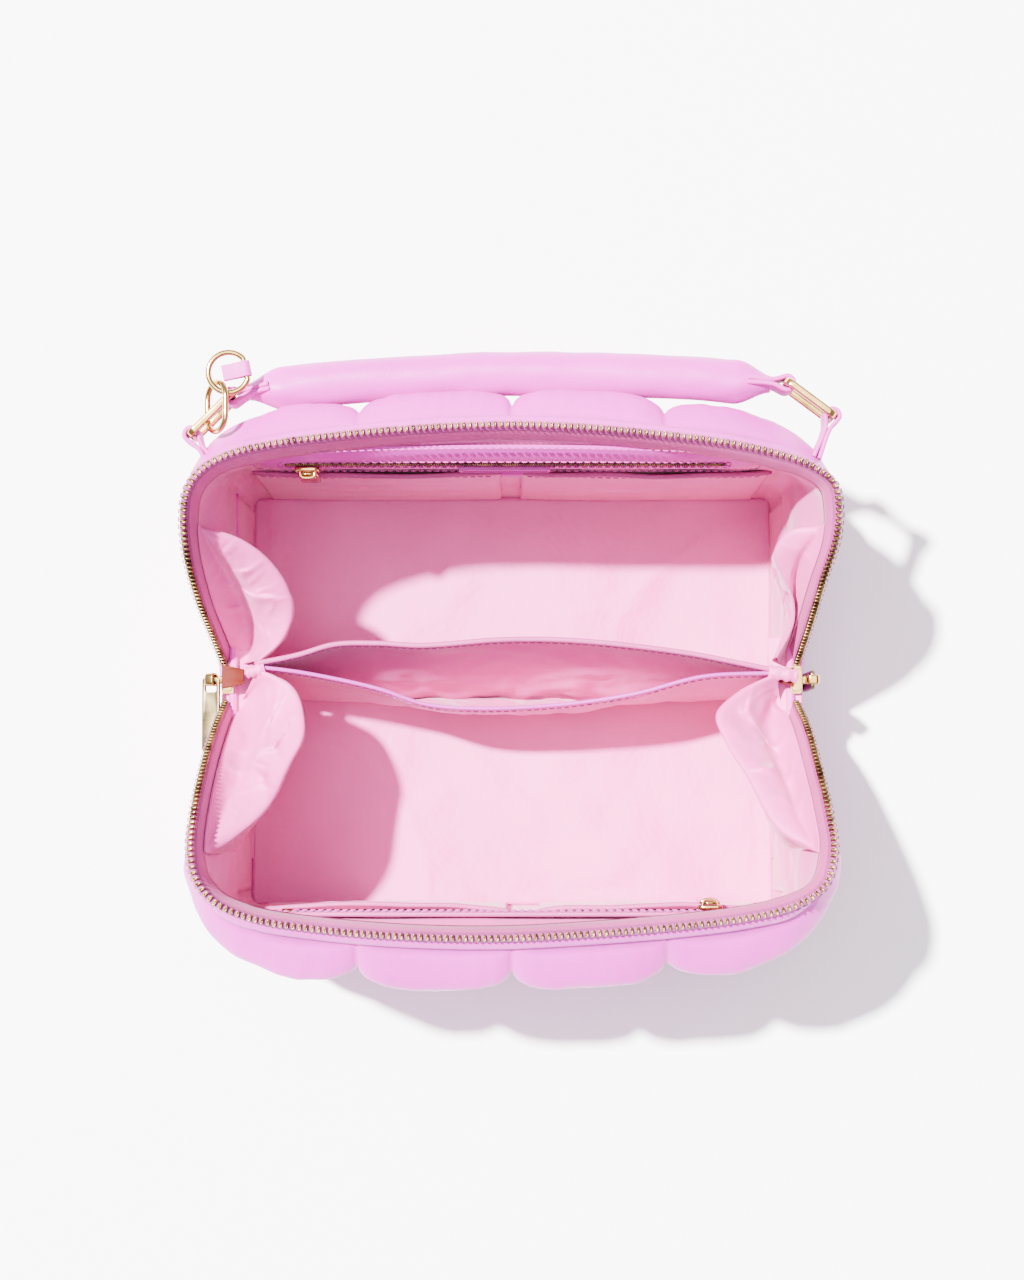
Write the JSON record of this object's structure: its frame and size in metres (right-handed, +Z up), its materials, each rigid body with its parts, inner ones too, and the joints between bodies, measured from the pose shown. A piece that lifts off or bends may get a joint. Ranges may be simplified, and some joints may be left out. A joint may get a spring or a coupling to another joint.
{
  "type": "makeup bag",
  "caption": "Quilted soft-leather makeup bag, zipped wide open, with lined compartments, a divider pocket, inner pockets, a padded top handle and a chain.",
  "frame": {"origin": "middle of the underside of the base, on the surface the bag stands on", "axes": "+X along the length to the right, +Y from the front to the rear, +Z up"},
  "size_m": [0.2674, 0.2586, 0.1632],
  "materials": {
    "outer_leather": "smooth soft grain, satin",
    "binding_leather": "smooth satin",
    "lining_cloth": "fine plain weave with a slight sheen",
    "foam": "open-cell foam and padding",
    "stiffener_board": "matte board",
    "zip_tape": "woven tape",
    "zip_teeth": "antique brass",
    "gold_metal": "polished light gold plate"
  },
  "bodies": {
    "base": {"base_panel": "outer_leather", "base_board": "stiffener_board", "floor_lining": "lining_cloth", "side_linings": "lining_cloth", "divider_rear_panel": "lining_cloth", "divider_front_panel": "lining_cloth", "divider_binding": "binding_leather", "divider_end_tubes": "lining_cloth", "zip_end_tabs": "outer_leather", "side_panel_left": "outer_leather", "side_panel_right": "outer_leather", "main_slider_left": "gold_metal", "main_slider_right": "gold_metal"},
    "rear_half": {"rear_outer_shell": "outer_leather", "rear_foam": "foam", "rear_lining": "lining_cloth", "rear_rim_band": "outer_leather", "rear_zip_tape": "zip_tape", "rear_zip_teeth": "zip_teeth", "rear_pocket_zip": "zip_teeth", "rear_pocket_bag": "lining_cloth", "rear_gussets": "lining_cloth", "rear_slip_pocket_left": "lining_cloth", "rear_slip_pocket_right": "lining_cloth", "rear_wing_left": "outer_leather", "rear_wing_right": "outer_leather", "rear_pocket_frame": "outer_leather", "label_patch": "outer_leather", "rear_slip_tab": "outer_leather", "ring_tabs": "outer_leather"},
    "front_half": {"front_outer_shell": "outer_leather", "front_foam": "foam", "front_lining": "lining_cloth", "front_rim_band": "outer_leather", "front_zip_tape": "zip_tape", "front_zip_teeth": "zip_teeth", "front_pocket_zip": "zip_teeth", "front_pocket_bag": "lining_cloth", "front_gussets": "lining_cloth", "front_slip_pocket_left": "lining_cloth", "front_slip_pocket_right": "lining_cloth", "front_wing_left": "outer_leather", "front_wing_right": "outer_leather"},
    "handle": {"handle_grip": "outer_leather", "handle_core": "foam", "handle_strap_left": "outer_leather", "handle_strap_right": "outer_leather"},
    "ring_left": {"ring_left": "gold_metal"},
    "ring_right": {"ring_right": "gold_metal"},
    "chain_link": {"chain_link": "gold_metal"},
    "d_ring": {"d_ring": "gold_metal", "hang_tab": "outer_leather"},
    "main_pull_left": {"main_pull_left": "gold_metal"},
    "main_pull_right": {"main_pull_right": "gold_metal"},
    "rear_pocket_slider": {"rear_pocket_slider": "gold_metal"},
    "rear_pocket_pull": {"rear_pocket_pull": "gold_metal"},
    "front_pocket_slider": {"front_pocket_slider": "gold_metal"},
    "front_pocket_pull": {"front_pocket_pull": "gold_metal"}
  },
  "joints": [
    {"name": "rear_half_fold", "type": "hinge", "parent": "base", "child": "rear_half", "pos_m": [0, 0.093, 0.005], "axis": [1, 0, 0], "range_deg": [0, 35], "deforming": ["rear_wing_left", "rear_wing_right", "rear_gussets", "rear_zip_tape", "rear_zip_teeth", "rear_rim_band"]},
    {"name": "front_half_fold", "type": "hinge", "parent": "base", "child": "front_half", "pos_m": [0, -0.093, 0.005], "axis": [-1, 0, 0], "range_deg": [0, 35], "deforming": ["front_wing_left", "front_wing_right", "front_gussets", "front_zip_tape", "front_zip_teeth", "front_rim_band"]},
    {"name": "handle_swing", "type": "hinge", "parent": "rear_half", "child": "handle", "pos_m": [0, 0.104, 0.146], "axis": [1, 0, 0], "range_deg": [0, 110], "deforming": ["ring_tabs"]},
    {"name": "ring_left_turn", "type": "hinge", "parent": "handle", "child": "ring_left", "pos_m": [-0.11392, 0.11808, 0.139], "axis": [0, 0, 1], "range_deg": [-6, 6], "deforming": ["ring_tabs"]},
    {"name": "ring_right_turn", "type": "hinge", "parent": "handle", "child": "ring_right", "pos_m": [0.11188, 0.12338, 0.139], "axis": [0, 0, 1], "range_deg": [-6, 6], "deforming": ["ring_tabs"]},
    {"name": "chain_link_swing", "type": "hinge", "parent": "ring_left", "child": "chain_link", "pos_m": [-0.122, 0.11, 0.14693], "axis": [0.7071, 0.7071, 0], "range_deg": [0, 12]},
    {"name": "d_ring_swing", "type": "hinge", "parent": "chain_link", "child": "d_ring", "pos_m": [-0.1195, 0.1225, 0.1485], "axis": [1, 0, 0], "range_deg": [0, 6]},
    {"name": "main_pull_left_swing", "type": "hinge", "parent": "base", "child": "main_pull_left", "pos_m": [-0.1296, 0.006, 0.0739], "axis": [-0.9397, 0, -0.342], "range_deg": [0, 100]},
    {"name": "main_pull_right_swing", "type": "hinge", "parent": "base", "child": "main_pull_right", "pos_m": [0.1296, 0.006, 0.0739], "axis": [0, -1, 0], "range_deg": [0, 100]},
    {"name": "rear_pocket_slide", "type": "slide", "parent": "rear_half", "child": "rear_pocket_slider", "axis": [1, 0, 0], "range_m": [0, 0.164]},
    {"name": "rear_pocket_pull_swing", "type": "hinge", "parent": "rear_pocket_slider", "child": "rear_pocket_pull", "pos_m": [-0.084, 0.08755, 0.13], "axis": [-1, 0, 0], "range_deg": [0, 25]},
    {"name": "front_pocket_slide", "type": "slide", "parent": "front_half", "child": "front_pocket_slider", "axis": [-1, 0, 0], "range_m": [0, 0.16]},
    {"name": "front_pocket_pull_swing", "type": "hinge", "parent": "front_pocket_slider", "child": "front_pocket_pull", "pos_m": [0.08, -0.08755, 0.135], "axis": [1, 0, 0], "range_deg": [0, 25]}
  ]
}
